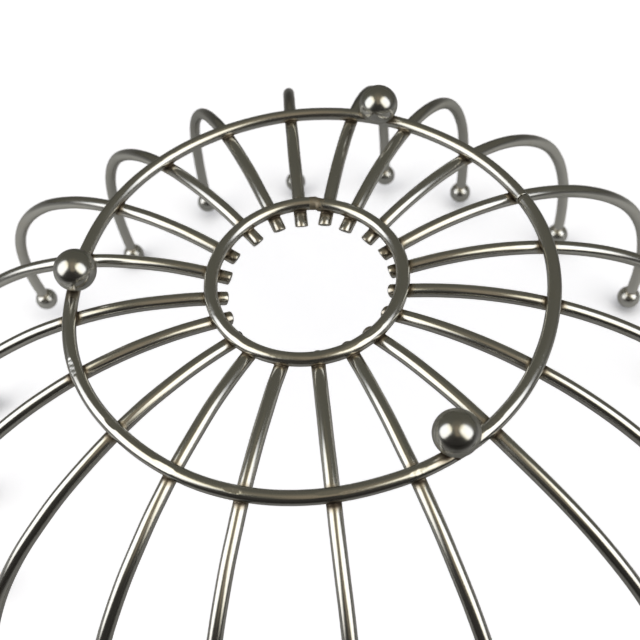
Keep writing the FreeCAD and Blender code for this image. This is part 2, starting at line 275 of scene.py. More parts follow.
def tube_faces(rows, around, closed=False):
    faces = []
    last = rows if closed else rows - 1
    for i in range(last):
        a, b = i * around, ((i + 1) % rows) * around
        for j in range(around):
            k = (j + 1) % around
            faces.append((a + j, a + k, b + k, b + j))
    return faces


def tube(pts, nor, bin_, radius, around=AROUND):
    """Verts of a tube. radius is (rows, around) or a number. Angle 0 is along nor."""
    th = np.arange(around) * 2 * np.pi / around
    radius = np.broadcast_to(radius, (len(pts), around))
    ring = (nor[:, None, :] * np.cos(th)[None, :, None] + bin_[:, None, :] * np.sin(th)[None, :, None])
    return (pts[:, None, :] + ring * radius[:, :, None]).reshape(-1, 3), th


def flat(radius, th, centre, depth):
    """Radius of a round section with a flat of a given depth pressed into it at an angle."""
    c = np.cos(th[None, :] - centre)
    limit = (radius - depth[:, None]) / np.clip(c, 0.05, None)
    return np.where(c > 0.05, np.minimum(radius, limit), radius)


def icosphere(level):
    t = (1 + 5 ** 0.5) / 2
    v = [(-1, t, 0), (1, t, 0), (-1, -t, 0), (1, -t, 0), (0, -1, t), (0, 1, t), (0, -1, -t),
         (0, 1, -t), (t, 0, -1), (t, 0, 1), (-t, 0, -1), (-t, 0, 1)]
    f = [(0, 11, 5), (0, 5, 1), (0, 1, 7), (0, 7, 10), (0, 10, 11), (1, 5, 9), (5, 11, 4),
         (11, 10, 2), (10, 7, 6), (7, 1, 8), (3, 9, 4), (3, 4, 2), (3, 2, 6), (3, 6, 8),
         (3, 8, 9), (4, 9, 5), (2, 4, 11), (6, 2, 10), (8, 6, 7), (9, 8, 1)]
    v = [np.array(p) / np.linalg.norm(p) for p in v]
    for _ in range(level):
        seen, out = {}, []

        def mid(a, b):
            key = (min(a, b), max(a, b))
            if key not in seen:
                m = v[a] + v[b]
                v.append(m / np.linalg.norm(m))
                seen[key] = len(v) - 1
            return seen[key]

        for a, b, c in f:
            ab, bc, ca = mid(a, b), mid(b, c), mid(c, a)
            out += [(a, ab, ca), (b, bc, ab), (c, ca, bc), (ab, bc, ca)]
        f = out
    return np.array(v), f


ICO = {k: icosphere(k) for k in (3, 4, 5)}


def star(distance, centre, reach, level):
    """A closed blob seen from its centre: in every direction, the place where distance
    first turns positive, but no further than reach."""
    dirs, faces = ICO[level]
    steps = np.linspace(0.25, reach, 90)
    p = centre + dirs[:, None, :] * steps[None, :, None]
    d = distance(p)
    out = d > 0
    first = np.where(out.any(1), out.argmax(1), len(steps) - 1)
    i0 = np.clip(first - 1, 0, None)
    rows = np.arange(len(dirs))
    d0, d1 = d[rows, i0], d[rows, first]
    with np.errstate(divide="ignore", invalid="ignore"):
        w = np.where(out.any(1) & (first > 0), -d0 / (d1 - d0), 1.0)
    w = np.clip(np.nan_to_num(w, nan=1.0), 0, 1)
    r = steps[i0] + (steps[first] - steps[i0]) * w
    return centre + dirs * r[:, None], faces


def gather(blobs):
    verts, faces, base = [], [], 0
    for v, f in blobs:
        verts.append(v)
        faces += [tuple(i + base for i in face) for face in f]
        base += len(v)
    return np.concatenate(verts), faces


# ------------------------------------------------------------------ heat tint

crossings = []
for rib in ribs:
    for radius, height, kind in ((FOOT_R, FOOT_Z, "foot"), (INNER_R, INNER_Z, "inner")):
        for _ in range(3):
            s = rib.crossing(radius)
            p, t, n = (x[0] for x in rib.at([s]))
            az = math.atan2(p[1], p[0])
            radius = float(ring_radius(kind, math.degrees(az)))
        k = int(np.searchsorted(np.cumsum(rib.lengths), s))
        ring_p = np.array([radius * math.cos(az), radius * math.sin(az), height])
        crossings.append({"rib": rib, "kind": kind, "s": s, "p": p, "t": t, "n": n,
                          "ring": ring_p, "az": az, "mid": (p + ring_p) / 2,
                          "radius": radius, "height": height, "bend": rib.arcs[k][2]})
foot_centres = [np.array([r * math.cos(math.radians(a)), r * math.sin(math.radians(a)), FOOT_BALL_R])
                for a, r in FEET]
foot_centres[2] += np.array([0.28, 0.05, 0.0])
CROSS_MID = np.array([c["mid"] for c in crossings])


def tint_of(p, extra=()):
    """1 in the corner of a weld, falling to 0 a few millimetres away."""
    centres = np.concatenate([CROSS_MID, np.array(extra).reshape(-1, 3)])
    d = np.full(len(p), 1e9)
    for c in centres:
        d = np.minimum(d, np.linalg.norm(p - c, axis=1))
    return np.clip(1.0 - (d - 2.1) / 2.9, 0.0, 1.0)


CONTACTS = []
for c in foot_centres:
    az = math.atan2(c[1], c[0])
    radius = float(ring_radius("foot", math.degrees(az)))
    ring_p = np.array([radius * math.cos(az), radius * math.sin(az), FOOT_Z])
    u = (c - ring_p) / np.linalg.norm(c - ring_p)
    CONTACTS.append((ring_p, u, ring_p + u * 1.6))

# ------------------------------------------------------------------ materials


class Nodes:
    def __init__(self, name):
        self.mat = bpy.data.materials.new(name)
        self.mat.use_nodes = True
        self.tree = self.mat.node_tree
        self.tree.nodes.clear()

    def new(self, kind, **values):
        node = self.tree.nodes.new(kind)
        for key, value in values.items():
            setattr(node, key, value)
        return node

    def link(self, a, b):
        self.tree.links.new(a, b)

    def value(self, socket, v):
        if isinstance(v, (int, float, tuple, list)):
            socket.default_value = v
        else:
            self.link(v, socket)

    def math(self, op, a, b=0.0, clamp=False):
        n = self.new("ShaderNodeMath", operation=op, use_clamp=clamp)
        self.value(n.inputs[0], a)
        self.value(n.inputs[1], b)
        return n.outputs[0]

    def mix(self, fac, a, b, mode="MIX"):
        n = self.new("ShaderNodeMix", data_type="RGBA", blend_type=mode)
        self.value(n.inputs[0], fac)
        self.value(n.inputs[6], a)
        self.value(n.inputs[7], b)
        return n.outputs[2]

    def ramp(self, fac, e0, e1, v0=0.0, v1=1.0):
        n = self.new("ShaderNodeMapRange", interpolation_type="SMOOTHSTEP")
        self.value(n.inputs[0], fac)
        for k, v in zip((1, 2, 3, 4), (e0, e1, v0, v1)):
            n.inputs[k].default_value = v
        return n.outputs[0]

    def noise(self, vector, scale, detail=2.0, rough=0.5, lacunarity=2.0):
        n = self.new("ShaderNodeTexNoise")
        self.link(vector, n.inputs["Vector"])
        n.inputs["Scale"].default_value = scale
        n.inputs["Detail"].default_value = detail
        n.inputs["Roughness"].default_value = rough
        n.inputs["Lacunarity"].default_value = lacunarity
        return n.outputs[0]

    def attr(self, name):
        return self.new("ShaderNodeAttribute", attribute_name=name)


NICKEL = (0.620, 0.612, 0.578, 1)
STRAW = (0.420, 0.355, 0.255, 1)
SCALE = (0.060, 0.043, 0.030, 1)


def satin_nickel(name, rough, grain, streak, tint_gain=1.0, base=NICKEL, rim=0.0):
    """Satin nickel over steel: drawn-wire streaks along the length, a fine tumbled
    grain, faint stains, and a straw-to-brown heat tint round the welds."""
    n = Nodes(name)
    bsdf = n.new("ShaderNodeBsdfPrincipled")
    out = n.new("ShaderNodeOutputMaterial")
    n.link(bsdf.outputs[0], out.inputs[0])
    co = n.attr("wire_co").outputs["Vector"]
    pos = n.new("ShaderNodeTexCoord").outputs["Object"]
    tint = n.attr("tint").outputs["Fac"]
    streaks = n.noise(co, 9.0, 3.0, 0.55)
    stains = n.noise(pos, 90.0, 3.0, 0.55)
    fine = n.noise(pos, 2600.0, 2.0, 0.6)
    colour = n.mix(n.ramp(stains, 0.52, 0.74, 0.0, 0.22), base, (0.560, 0.505, 0.415, 1))
    colour = n.mix(n.ramp(streaks, 0.50, 0.80, 0.0, 0.14), colour, (0.45, 0.42, 0.37, 1))
    edge = n.math("ADD", tint, n.math("MULTIPLY", n.math("SUBTRACT", stains, 0.5), 0.55))
    warm = n.math("MULTIPLY", n.ramp(edge, 0.20, 0.75), 0.74 * tint_gain, clamp=True)
    colour = n.mix(warm, colour, STRAW)
    burnt = n.math("MULTIPLY", n.ramp(edge, 0.60, 0.95), 0.90 * tint_gain, clamp=True)
    colour = n.mix(burnt, colour, SCALE)
    # painted light: from 62 mm up to 104 mm the colour is made 13% lighter, so the curled tips and tip balls read as
    # if they catch more light
    up = n.new("ShaderNodeSeparateXYZ")
    n.link(pos, up.inputs[0])
    colour = n.mix(n.ramp(up.outputs[2], 0.062, 0.104, 0.0, 1.0), colour, (1.13, 1.13, 1.13, 1), "MULTIPLY")
    # painted shade: the colour is darkened up to 40% towards near-black where the surface turns edge-on to the
    # camera, so the wires' rims read darker
    facing = n.new("ShaderNodeLayerWeight").outputs["Facing"]
    colour = n.mix(n.ramp(facing, 0.68, 0.98, 0.0, 0.40), colour, (0.10, 0.10, 0.095, 1))
    n.link(colour, bsdf.inputs["Base Color"])
    bsdf.inputs["Specular Tint"].default_value = (0.72, 0.72, 0.70, 1)
    bsdf.inputs["Metallic"].default_value = 1.0
    r = n.math("ADD", rough, n.math("MULTIPLY", n.math("SUBTRACT", streaks, 0.5), 0.10 * streak))
    r = n.math("ADD", r, n.math("MULTIPLY", n.ramp(stains, 0.5, 0.8), 0.05))
    r = n.math("ADD", r, n.math("MULTIPLY", burnt, 0.22))
    r = n.math("ADD", r, n.math("MULTIPLY", warm, 0.14))
    r = n.math("ADD", r, n.ramp(facing, 0.30, 0.75, 0.0, rim), clamp=True)
    n.link(r, bsdf.inputs["Roughness"])
    height = n.math("ADD", n.math("MULTIPLY", fine, grain), n.math("MULTIPLY", streaks, 0.35 * streak))
    bump = n.new("ShaderNodeBump")
    bump.inputs["Strength"].default_value = 0.35
    bump.inputs["Distance"].default_value = 0.00001
    n.link(height, bump.inputs["Height"])
    n.link(bump.outputs[0], bsdf.inputs["Normal"])
    return n.mat


wire_mat = satin_nickel("satin_nickel_wire", 0.195, 1.0, 1.0)
ball_mat = satin_nickel("satin_nickel_ball", 0.205, 1.2, 0.35, 0.8, base=(0.560, 0.556, 0.528, 1), rim=0.16)
weld_mat = satin_nickel("weld_metal", 0.40, 2.0, 0.6, 1.0, base=(0.46, 0.42, 0.36, 1))
bead_mat = satin_nickel("butt_weld_metal", 0.52, 9.0, 1.6, 0.9, base=(0.30, 0.27, 0.22, 1))

# ------------------------------------------------------------------ ribs


def spaced(marks, start, end, coarse, fine, width):
    """Lengths from start to end, closer together near the marks."""
    out, s = [start], start
    while s < end - 1e-6:
        near = min([abs(s - m) for m in marks] or [1e9])
        step = fine if near < width else coarse
        s = min(s + step, end)
        out.append(s)
    return np.array(out)


# ends cut further from square than the rest: slope in the bend's plane, and across it
ENDS = {4: (0.05, 0.22), 5: (0.02, 0.26), 6: (0.12, 0.14), 7: (0.10, -0.12)}

for rib in ribs:
    mine = [c for c in crossings if c["rib"] is rib]
    marks = [c["s"] for c in mine]
    s = spaced(marks, 1.15, rib.length, 1.25, 0.5, 3.2)
    pts, tan, nor = rib.at(s)
    bin_ = np.cross(tan, nor)
    # a bent wire is never quite true: a few hundredths of a millimetre of wander
    fade = smooth(0, 12, s) * smooth(0, 12, rib.length - s)
    for m in marks:
        fade = fade * smooth(2.0, 10.0, np.abs(s - m))
    pts = pts + nor * (0.035 * wobble(s, rib.number) * fade)[:, None]
    pts = pts + bin_ * (0.045 * wobble(s, rib.number + 7.3) * fade)[:, None]
    th = np.arange(AROUND) * 2 * np.pi / AROUND
    radius = np.full((len(s), AROUND), WIRE_R)
    # electrode flats on the bowl's inside, opposite each ring
    for m, c in zip(marks, mine):
        depth = 0.16 * np.exp(-((s - m) / 1.5) ** 2)
        depth = np.where(np.abs(s - m) < 3.2, depth, 0)
        radius = np.where((np.abs(s - m) < 3.2)[:, None], flat(WIRE_R, th, 0.0, depth), radius)
    # sheared inner end: a rounded rim, a face a degree or two off square
    p0, t0, n0 = (x[0] for x in rib.at([0.0]))
    b0 = np.cross(t0, n0)
    slope = max(0.16, 0.72 * math.sin(math.radians(rib.az)) - 0.22)
    skew = slope + 0.06 * math.sin(2.3 * rib.number), 0.08 * math.cos(1.9 * rib.number)
    skew = ENDS.get(rib.number, skew)
    p0 = p0 - t0 * 0.62 * WIRE_R * max(0.0, slope - 0.16)
    head, head_r = [], []
    for back, shrink in ((-0.04, 0.95), (0.0, 0.55), (0.08, 0.30), (0.22, 0.12), (0.42, 0.02)):
        head.append(back)
        head_r.append(WIRE_R - shrink)
    ring_pts = []
    for back, r in zip(head, head_r):
        ring = p0 + t0 * back + r * (np.cos(th)[:, None] * n0 + np.sin(th)[:, None] * b0)
        tilt = r * (np.cos(th) * skew[0] + np.sin(th) * skew[1])
        roll = 0.22 * np.clip(-np.cos(th + 0.5 * math.sin(rib.number)), 0, None) ** 2 * (back < 0.05)
        ring_pts.append(ring + t0 * (tilt + roll)[:, None])
    body, _ = tube(pts, nor, bin_, radius)
    burr = 0.02 * lump(np.array(ring_pts[1]), rib.number)
    ring_pts[1] = ring_pts[1] - t0 * burr[:, None]
    cap = np.array([p0 - t0 * 0.04])
    far = np.array([pts[-1] + tan[-1] * 0.0])
    verts = np.concatenate([cap] + ring_pts + [body, far])
    rows = len(ring_pts) + len(s)
    faces = [tuple(i + 1 for i in f) for f in tube_faces(rows, AROUND)]
    faces += [(0, 1 + (j + 1) % AROUND, 1 + j) for j in range(AROUND)]
    top = 1 + (rows - 1) * AROUND
    faces += [(len(verts) - 1, top + j, top + (j + 1) % AROUND) for j in range(AROUND)]
    all_s = np.concatenate([[0.0], np.repeat(np.array(head) * 0.5, AROUND), np.repeat(s, AROUND), [rib.length]])
    ang = np.concatenate([[0.0], np.tile(th, rows), [0.0]])
    co = np.stack([all_s * 0.012 + rib.number * 3.1, np.cos(ang), np.sin(ang)], -1)
    tint = tint_of(verts)
    # the cut end kept some of the brown of the weld beside it
    tint = np.maximum(tint, 0.45 * smooth(3.0, 0.0, all_s))
    make("wire_rib_%02d" % rib.number, verts, faces, {"wire_co": co, "tint": tint}, wire_mat,
         "rib_%02d" % rib.number)

# ------------------------------------------------------------------ rings


def ring_piece(name, node, radius, height, kind, gap_az=None, gap_deg=0.0):
    marks = sorted((math.degrees(c["az"]) % 360, i) for i, c in enumerate(crossings) if c["kind"] == kind)
    per_deg = math.radians(1) * radius
    start = gap_az + gap_deg / 2 if gap_az is not None else 0.0
    span = 360.0 - (gap_deg if gap_az is not None else 0.0)
    wanted = [((a - start) % 360) * per_deg for a, _ in marks]
    length = span * per_deg
    closed = gap_az is None
    extra_marks = [((BEAD_AZ - start) % 360) * per_deg] if closed else []
    s = spaced(wanted + extra_marks, 0.0, length, 1.25, 0.30, 5.2)
    if closed:
        s = s[:-1]
    az = np.radians(start + s / per_deg)
    run = ring_radius(kind, np.degrees(az))
    pts = np.stack([run * np.cos(az), run * np.sin(az), np.full_like(az, height)], -1)
    nor = np.tile([0.0, 0.0, -1.0], (len(s), 1))          # angle 0 faces the table
    out = np.stack([np.cos(az), np.sin(az), 0 * az], -1)
    th = np.arange(AROUND + 8) * 2 * np.pi / (AROUND + 8)
    fade = np.ones_like(s)
    for m in wanted:
        gap = np.abs(s - m)
        fade = fade * smooth(1.0, 7.0, np.minimum(gap, length - gap))
    pts = pts + out * (0.04 * wobble(s, 3.0 + radius, ((19.0, 1.0), (37.0, 1.3), (length / 3, 1.6))) * fade)[:, None]
    r = np.full((len(s), len(th)), WIRE_R)
    # electrode prints on the side away from the ribs, a little to one side or the other
    strength = 1.0 if kind == "foot" else 0.55
    for m, (_, i) in zip(wanted, marks):
        off = 0.6 + 0.8 * math.sin(3.7 * i)
        side = 0.22 + 0.20 * math.sin(5.1 * i + 1.0)
        d = s - (m + off)
        near = np.abs(d) < 4.4
        half = 2.9 + 0.7 * math.sin(1.7 * i)
        depth = np.where(near, strength * (0.11 + 0.04 * math.sin(2.9 * i)) * np.sqrt(np.clip(1 - (d / half) ** 2, 0, None)), 0)
        pressed = flat(WIRE_R, th, side, depth)
        lip = 0.060 * np.exp(-((np.abs(th[None, :] - side + 0.0) - 0.46) / 0.10) ** 2) + \
            0.060 * np.exp(-((np.abs(th[None, :] - 2 * np.pi - side) - 0.46) / 0.10) ** 2)
        pressed = pressed + 0.7 * strength * lip * smooth(half + 0.3, half - 1.4, np.abs(d))[:, None]
        ripple = np.sin(d[:, None] * 7.1 + 5 * np.sin(2 * th)[None, :] + i) + np.sin(d[:, None] * 3.3 - 3 * th[None, :] + 2 * i)
        grooves = 0.015 * strength ** 2 * ripple * (depth > 0.04 * strength)[:, None]
        face = np.exp(-((((th[None, :] - side + np.pi) % (2 * np.pi)) - np.pi) / 0.42) ** 2)
        r = np.where(near[:, None], pressed + grooves * face, r)
    around = len(th)
    body, _ = tube(pts, nor, out, r, around)
    rows = len(s)
    seam_tint = [] if gap_az is None else [[radius * math.cos(math.radians(gap_az)),
                                            radius * math.sin(math.radians(gap_az)), height]]
    if closed:
        verts, faces = body, tube_faces(rows, around, True)
        all_s, ang = np.repeat(s, around), np.tile(th, rows)
    else:
        # two cut ends, each with a small rounded rim
        heads = []
        for end, sign in ((0, -1.0), (-1, 1.0)):
            t = np.array([-math.sin(az[end]), math.cos(az[end]), 0.0]) * sign
            for back, shrink in ((-0.16, 0.02), (-0.06, 0.08), (0.0, 0.22), (0.0, 0.6)):
                ring = pts[end] + t * back + (WIRE_R - shrink) * (
                    np.cos(th)[:, None] * nor[end] + np.sin(th)[:, None] * out[end])
                heads.append(ring)
        first, last = heads[:4][::-1], heads[4:]
        inner_rows = body.reshape(rows, around, 3)[1:-1].reshape(-1, 3)
        verts = np.concatenate([[pts[0]]] + first + [inner_rows] + last + [[pts[-1]]])
        rows = 8 + len(s) - 2
        faces = [tuple(i + 1 for i in f) for f in tube_faces(rows, around)]
        faces += [(0, 1 + (j + 1) % around, 1 + j) for j in range(around)]
        top = 1 + (rows - 1) * around
        faces += [(len(verts) - 1, top + j, top + (j + 1) % around) for j in range(around)]
        ss = np.concatenate([[0] * 4, s[1:-1], [length] * 4])
        all_s = np.concatenate([[0.0], np.repeat(ss, around), [length]])
        ang = np.concatenate([[0.0], np.tile(th, rows), [0.0]])
    a = np.radians(start) + all_s / radius
    co = np.stack([0.9 * radius * np.cos(a) * 0.012, np.cos(ang) + 0.9 * radius * np.sin(a) * 0.012, np.sin(ang)], -1)
    extra = CONTACTS if kind == "foot" else []
    # the tint sits in the corners against the ribs more than on the outer face
    facing = np.cos(ang)
    tint = np.clip(tint_of(verts) * (0.30 + 0.78 * smooth(0.75, -0.20, facing)), 0, 1)
    for mid, u, spot in extra:
        towards = smooth(-0.1, 0.8, (verts - mid) @ u / WIRE_R)
        tint = np.maximum(tint, 0.90 * towards * smooth(10.0, 4.6, np.linalg.norm(verts - spot, axis=1)))
    make(name, verts, faces, {"wire_co": co, "tint": tint}, wire_mat, node)


ring_piece("wire_foot_ring", "foot_ring", FOOT_R, FOOT_Z, "foot", JOINT_AZ, JOINT_GAP)
ring_piece("wire_inner_ring", "inner_ring", INNER_R, INNER_Z, "inner")

# ------------------------------------------------------------------ balls


def ball_piece(name, node, centre, radius, heads, seed, level=5):
    dirs, faces = ICO[level]
    r = radius + 0.012 * lump(dirs * 2.2, seed)
    verts = centre + dirs * r[:, None]
    co = dirs * 0.8 + seed
    tint = np.zeros(len(verts))
    for point, reach in heads:
        d = np.linalg.norm(verts - point, axis=1)
        tint = np.maximum(tint, np.clip(1 - (d - reach) / (0.45 * reach), 0, 1) * 0.8)
    make(name, verts, faces, {"wire_co": co, "tint": tint}, ball_mat, node)


tip_welds, foot_welds, foot_ring_welds, inner_ring_welds = [], [], [], []
for rib in ribs:
    p, t, n = (x[0] for x in rib.at([rib.length]))
    mouth = p - t * math.sqrt(TIP_BALL_R ** 2 - WIRE_R ** 2)
    ball_piece("tip_ball_%02d.turned" % rib.number, "tip_ball_%02d" % rib.number, p, TIP_BALL_R,
               [(mouth, 2.0)], rib.number, 4)

    def tip_distance(q, p=p, t=t, seed=rib.number):
        v = q - p
        ball = np.linalg.norm(v, axis=-1) - TIP_BALL_R
        h = v @ t
        wire = np.linalg.norm(v - h[..., None] * t, axis=-1) - WIRE_R
        wire = np.where(h > 0, np.maximum(wire, h), wire)
        return smin(wire, ball, 0.45) + 0.045 - 0.02 * (lump(q * 1.4, seed) + 0.3)

    tip_welds.append(star(tip_distance, mouth, 2.6, 3))

for number, ((ring_p, u, contact), centre) in enumerate(zip(CONTACTS, foot_centres), 1):
    ball_piece("foot_ball_%d.turned" % number, "foot_ball_%d" % number, centre, FOOT_BALL_R,
               [(contact, 3.9)], 20 + number)

    def foot_distance(q, centre=centre, seed=number, radius=float(np.hypot(*ring_p[:2]))):
        ball = np.linalg.norm(q - centre, axis=-1) - FOOT_BALL_R
        ring = ring_distance(q, radius, FOOT_Z)
        return smin(ball, ring, 0.24) + 0.05 - 0.012 * (lump(q * 0.9, seed) + 0.3)

    foot_welds.append(star(foot_distance, contact, 3.6, 5))

# ------------------------------------------------------------------ welds
for i, c in enumerate(crossings):
    rib, mid = c["rib"], c["mid"]
    side = np.cross(c["n"], c["t"])

    def weld_distance(q, c=c, rib=rib, mid=mid, side=side, i=i):
        wires = smin(rib_distance(q, c), ring_distance(q, c["radius"], c["height"]), 0.55)
        v = q - mid
        a = v @ c["t"] / 2.15
        b = v @ side / 2.15
        h = v @ c["n"] / 0.5
        k = np.sqrt(a * a + b * b + h * h)
        squeeze = (k - 1) * 0.9
        return smin(wires, squeeze, 0.35) + 0.05 - 0.045 * (lump(q * 1.1, i) + 0.15)

    blob = star(weld_distance, mid, 3.1, 4)
    (foot_ring_welds if c["kind"] == "foot" else inner_ring_welds).append(blob)


def weld_piece(name, blobs, strength):
    verts, faces = gather(blobs)
    tint = strength + 0.14 * lump(verts * 0.8, 2.0)
    co = verts * 0.05
    make(name, verts, faces, {"wire_co": co, "tint": np.clip(tint, 0, 1)}, weld_mat, None)


weld_piece("foot_ring_welds", foot_ring_welds, 0.84)
weld_piece("inner_ring_welds", inner_ring_welds, 0.84)
weld_piece("foot_ball_welds", foot_welds, 0.98)
weld_piece("tip_ball_welds", tip_welds, 0.20)

# butt weld that closes the inner ring: a lumpy collar, proud of the wire on one side
az0 = math.radians(BEAD_AZ)
bead_s = np.linspace(-2.6, 2.6, 37)
az = az0 + bead_s / INNER_R
run = ring_radius("inner", np.degrees(az))
pts = np.stack([run * np.cos(az), run * np.sin(az), np.full_like(az, INNER_Z)], -1)
out = np.stack([np.cos(az), np.sin(az), 0 * az], -1)
nor = np.tile([0.0, 0.0, -1.0], (len(az), 1))
th = np.arange(AROUND) * 2 * np.pi / AROUND
ridge = 0.07 * np.exp(-((bead_s - 0.35) / 0.55) ** 2) + 0.06 * np.exp(-((bead_s + 1.0) / 0.9) ** 2) + 0.005
ridge = ridge[:, None] * (0.75 + 0.45 * np.cos(th[None, :] - 2.2)) + \
    0.022 * np.sin(5 * th[None, :] + 4.4 * bead_s[:, None]) * np.exp(-(bead_s[:, None] / 1.6) ** 2)
spike = np.exp(-((bead_s[:, None] - 0.7) / 0.30) ** 2) * np.exp(-((th[None, :] - 1.9) / 0.28) ** 2)
burr = np.exp(-((bead_s[:, None] - 0.2) / 0.35) ** 2) * np.exp(-((th[None, :] - 4.9) / 0.35) ** 2)
ridge = ridge + 0.42 * spike + 0.25 * burr
ridge[0], ridge[-1] = -0.5, -0.5
ridge[1], ridge[-2] = -0.12, -0.12
bead, _ = tube(pts, nor, out, WIRE_R + ridge)
verts = np.concatenate([[pts[0]], bead, [pts[-1]]])
rows = len(az)
faces = [tuple(i + 1 for i in f) for f in tube_faces(rows, AROUND)]
faces += [(0, 1 + (j + 1) % AROUND, 1 + j) for j in range(AROUND)]
top = 1 + (rows - 1) * AROUND
faces += [(len(verts) - 1, top + j, top + (j + 1) % AROUND) for j in range(AROUND)]
make("inner_ring_butt_weld", verts, faces,
     {"wire_co": verts * 0.05, "tint": np.clip(0.52 + 0.22 * lump(verts * 1.2, 5.0), 0, 1)}, bead_mat, None)

# ------------------------------------------------------------------ camera
# The bowl is seen upside down, from over its feet, as it lies on its rim: in the
# row's frame the camera is below the feet and looks up.
scene = bpy.context.scene
YAW, PITCH, ROLL = 0.010473521657648437, 0.9273335980021074, -0.12552410036840378
DH, ZC, TOP = 2.615279325500484, 3.1936451915720765, 0.1816
fwd = np.array([math.sin(YAW) * math.cos(PITCH), math.cos(YAW) * math.cos(PITCH), -math.sin(PITCH)])
right = np.array([math.cos(YAW), -math.sin(YAW), 0.0])
up = np.cross(right, fwd)
r2 = math.cos(ROLL) * right + math.sin(ROLL) * up
u2 = -math.sin(ROLL) * right + math.cos(ROLL) * up
over = np.diag([-1.0, 1.0, -1.0])
m = np.stack([over @ r2, over @ u2, over @ -fwd], 1)
cam_data = bpy.data.cameras.new("camera")
cam_data.sensor_width = 36.0
cam_data.lens = 997.2499518111174 / 640.0 * 36.0
cam_data.clip_start, cam_data.clip_end = 0.01, 50.0
cam = bpy.data.objects.new("camera", cam_data)
scene.collection.objects.link(cam)
cam.location = (0.0, -DH * 0.072, (TOP - ZC) * 0.072)
cam.rotation_mode = "QUATERNION"
cam.rotation_quaternion = Matrix(m.tolist()).to_quaternion()
focus = bpy.data.objects.new("focus", None)
scene.collection.objects.link(focus)
focus.location = (0.0, -0.030, 0.012)
cam_data.dof.use_dof = True
cam_data.dof.focus_object = focus
cam_data.dof.aperture_fstop = 25.5
scene.camera = cam

# ------------------------------------------------------------------ studio
# The floor, the light panels and the dark room follow the camera: under the feet
# when it looks from above, against the rim when it looks from below.


def drive(obj, path, index, expression, **variables):
    curve = obj.driver_add(path, index)
    for name, target in variables.items():
        var = curve.driver.variables.new()
        var.name = name
        var.targets[0].id = cam
        var.targets[0].data_path = target
    curve.driver.type = "SCRIPTED"
    curve.driver.expression = expression


rig = bpy.data.objects.new("studio", None)
scene.collection.objects.link(rig)
rig.rotation_mode = "XYZ"
drive(rig, "rotation_euler", 1, "3.14159265 if cz < 0 else 0", cz="location[2]")
drive(rig, "rotation_euler", 2, "atan2(cx, -cy)", cx="location[0]", cy="location[1]")
drive(rig, "location", 2, "0.112 if cz < 0 else 0", cz="location[2]")


def stage_mesh(name, verts, faces, material, parent=rig):
    mesh = bpy.data.meshes.new(name)
    mesh.from_pydata(verts, [], faces)
    mesh.materials.append(material)
    obj = bpy.data.objects.new(name, mesh)
    scene.collection.objects.link(obj)
    if parent is not None:
        obj.parent = parent
    return obj


# floor: over-exposed white to the eye, with a soft shadow under the bowl, partly cast by the panels and partly
# painted by an AO node; where the metal mirrors it, a painted mid grey with painted shade falling off towards the
# camera
n = Nodes("floor_paper")
o = n.new("ShaderNodeOutputMaterial")
seen = n.new("ShaderNodeBsdfDiffuse")
# painted shadow: an AO node darkens the floor's colour and its glow wherever wires or balls come within 16 mm,
# standing in for contact shadows
close = n.new("ShaderNodeAmbientOcclusion", samples=8)
close.inputs["Distance"].default_value = 0.016
open_sky = n.ramp(close.outputs["AO"], 0.48, 0.985, 0.28, 1.0)
n.link(n.mix(open_sky, (0.30, 0.30, 0.285, 1), (0.86, 0.86, 0.86, 1)), seen.inputs[0])
glow = n.new("ShaderNodeEmission")
away = n.new("ShaderNodeVectorMath", operation="LENGTH")
n.link(n.new("ShaderNodeTexCoord", object=rig).outputs["Object"], away.inputs[0])
glow.inputs[0].default_value = (0.99, 1.0, 1.06, 1)
n.link(n.math("MULTIPLY", n.ramp(away.outputs["Value"], 0.17, 0.42, 0.605, 1.05), open_sky), glow.inputs[1])
both = n.new("ShaderNodeAddShader")
n.link(seen.outputs[0], both.inputs[0])
n.link(glow.outputs[0], both.inputs[1])
# painted shade: the floor the metal mirrors gets its own colour, darker towards the camera, along the middle line and
# far off, lighter behind the bowl, standing in for how light falls on it
mirrored = n.new("ShaderNodeBsdfDiffuse")
sep = n.new("ShaderNodeSeparateXYZ")
n.link(n.new("ShaderNodeTexCoord", object=rig).outputs["Object"], sep.inputs[0])
fall = n.math("MULTIPLY", n.ramp(sep.outputs[1], -0.36, -0.11, 0.10, 1.0), n.ramp(sep.outputs[1], -0.06, 0.07, 1.0, 1.42))
fall = n.math("MULTIPLY", fall, n.ramp(n.math("ABSOLUTE", sep.outputs[0]), 0.05, 0.20, 0.46, 0.80))
far = n.new("ShaderNodeVectorMath", operation="LENGTH")
n.link(n.new("ShaderNodeTexCoord", object=rig).outputs["Object"], far.inputs[0])
fall = n.math("MULTIPLY", fall, n.ramp(far.outputs["Value"], 0.22, 0.40, 1.0, 0.35))
n.link(n.mix(fall, (0.03, 0.028, 0.025, 1), (0.80, 0.81, 0.835, 1)), mirrored.inputs[0])
path = n.new("ShaderNodeLightPath")
mix = n.new("ShaderNodeMixShader")
n.link(path.outputs["Is Glossy Ray"], mix.inputs[0])
n.link(both.outputs[0], mix.inputs[1])
n.link(mirrored.outputs[0], mix.inputs[2])
n.link(mix.outputs[0], o.inputs[0])
n.mat.cycles.emission_sampling = "NONE"
floor_mat = n.mat

